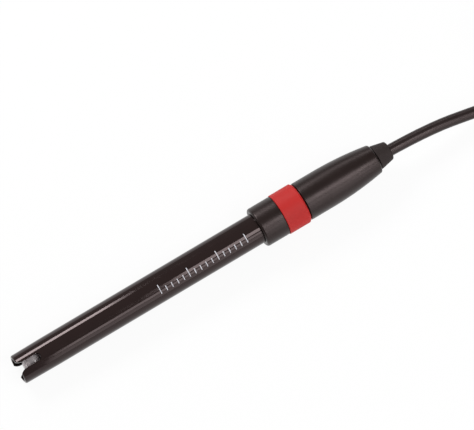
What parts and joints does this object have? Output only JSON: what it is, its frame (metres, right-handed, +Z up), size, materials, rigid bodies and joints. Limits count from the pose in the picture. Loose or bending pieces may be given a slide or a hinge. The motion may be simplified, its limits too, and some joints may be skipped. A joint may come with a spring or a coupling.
{
  "type": "ph electrode",
  "caption": "Lab pH electrode: slim black shaft with a guarded glass bulb, collar, turning red filling ring, tapered handle and a cable with a bayonet plug.",
  "frame": {"origin": "on the bench, under the middle of the electrode without its cable", "axes": "+X from the bulb's tip towards the cable, along the electrode as it lies; +Z up"},
  "size_m": [0.403, 0.0322, 0.0202],
  "materials": {
    "shaft_black": "glossy",
    "body_black": "satin",
    "ring_red": "satin",
    "clear_glass": "clear",
    "black_rubber": "matte",
    "cable_jacket": "satin",
    "tie_band": "hook and loop band",
    "potting": "cast",
    "stopper_rubber": "matte",
    "porous_ceramic": "porous",
    "silver": "drawn wire",
    "crimp_brass": "turned",
    "core_plastic": "smooth",
    "nickel": "plated",
    "gold_pin": "plated",
    "gasket_rubber": "matte"
  },
  "bodies": {
    "electrode": {"cable_crimp": "crimp_brass", "cable_ferrule": "black_rubber", "cable_hank": "cable_jacket", "cable_lead": "cable_jacket", "cable_tail": "cable_jacket", "cable_tie": "tie_band", "core_lead": "core_plastic", "glass_stem": "clear_glass", "handle": "body_black", "inner_wire": "silver", "junction": "porous_ceramic", "neck": "body_black", "plug_back_shell": "nickel", "plug_body": "nickel", "plug_boot": "black_rubber", "plug_crimp": "nickel", "plug_gasket": "gasket_rubber", "plug_insulator": "core_plastic", "plug_pin": "gold_pin", "plug_spring": "nickel", "reference_wire": "silver", "ring_seal_front": "black_rubber", "ring_seal_rear": "black_rubber", "screen_lead": "silver", "shaft_tube": "shaft_black", "stopper": "stopper_rubber", "tip_seal": "potting"},
    "filling_ring": {"fill_ring": "ring_red"},
    "thrust_washer": {"plug_washer": "nickel"},
    "bayonet_sleeve": {"plug_sleeve": "nickel"}
  },
  "joints": [
    {"name": "ring_turn", "type": "hinge", "parent": "electrode", "child": "filling_ring", "pos_m": [0.03737, 0, 0.00829], "axis": [0.9998, 0, 0.0207], "continuous": true},
    {"name": "sleeve_slide", "type": "slide", "parent": "electrode", "child": "thrust_washer", "axis": [1, 0, 0], "range_m": [0, 0.0008], "stiffness_N_per_m": 6000, "springref_m": -0.0002, "deforming": ["plug_spring"]},
    {"name": "sleeve_turn", "type": "hinge", "parent": "thrust_washer", "child": "bayonet_sleeve", "pos_m": [0.30563, -0.00417, 0.00725], "axis": [1, 0, 0], "continuous": true}
  ]
}
